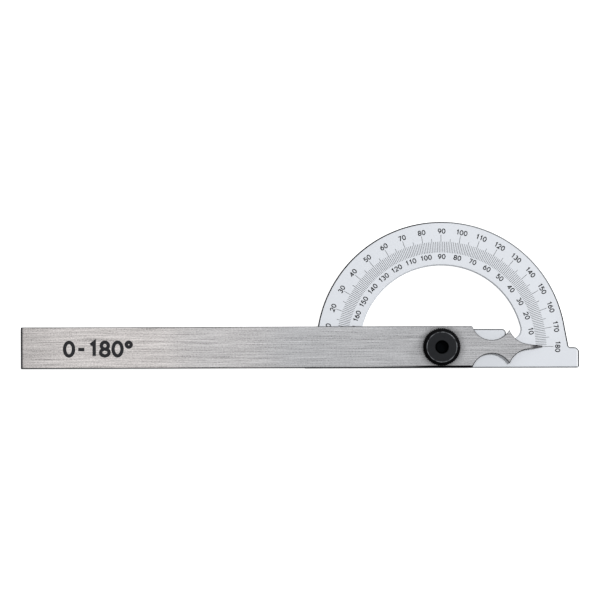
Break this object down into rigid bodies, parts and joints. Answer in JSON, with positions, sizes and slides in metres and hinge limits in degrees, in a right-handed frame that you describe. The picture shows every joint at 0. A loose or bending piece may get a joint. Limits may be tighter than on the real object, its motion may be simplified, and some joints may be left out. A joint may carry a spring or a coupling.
{
  "type": "goniometer",
  "caption": "Flat steel half-circle protractor blade with a straight base, a long pivoting pointer arm and a knurled clamp nut, for reading and setting angles.",
  "frame": {"origin": "on the pivot axis, in the plane of the blade's back", "axes": "+X along the straight base towards the scale's 180 end, +Y from the base towards the top of the arc, +Z out of the graduated face; at rest the arm points its tip along +X and reads 180"},
  "size_m": [0.2677, 0.0702, 0.0117],
  "materials": {
    "satin_chrome": "satin",
    "brushed_steel": "brushed lengthwise",
    "stud_steel": "turned, blackened",
    "spring_steel": "plain",
    "washer_steel": "zinc plated",
    "black_oxide": "black oxide, turned and knurled",
    "scale_ink": "matt black filling"
  },
  "bodies": {
    "blade": {"protractor_blade": "satin_chrome", "pivot_stud": "stud_steel"},
    "arm": {"pointer_arm": "brushed_steel"},
    "washers": {"flat_washer": "washer_steel", "spring_washer": "spring_steel"},
    "nut": {"knurled_nut": "black_oxide"}
  },
  "joints": [
    {"name": "arm_pivot", "type": "hinge", "parent": "blade", "child": "arm", "pos_m": [0, 0, 0.0023], "axis": [0, 0, 1], "continuous": true},
    {"name": "washer_lift", "type": "slide", "parent": "blade", "child": "washers", "axis": [0, 0, 1], "range_m": [0, 0.0012], "deforming": ["spring_washer"]},
    {"name": "nut_turn", "type": "hinge", "parent": "washers", "child": "nut", "pos_m": [0, 0, 0.00475], "axis": [0, 0, 1], "range_deg": [0, 540]}
  ],
  "couplings": [
    {"joint": "washer_lift", "follows": "nut_turn", "m_per_rad": 0.00012732}
  ]
}
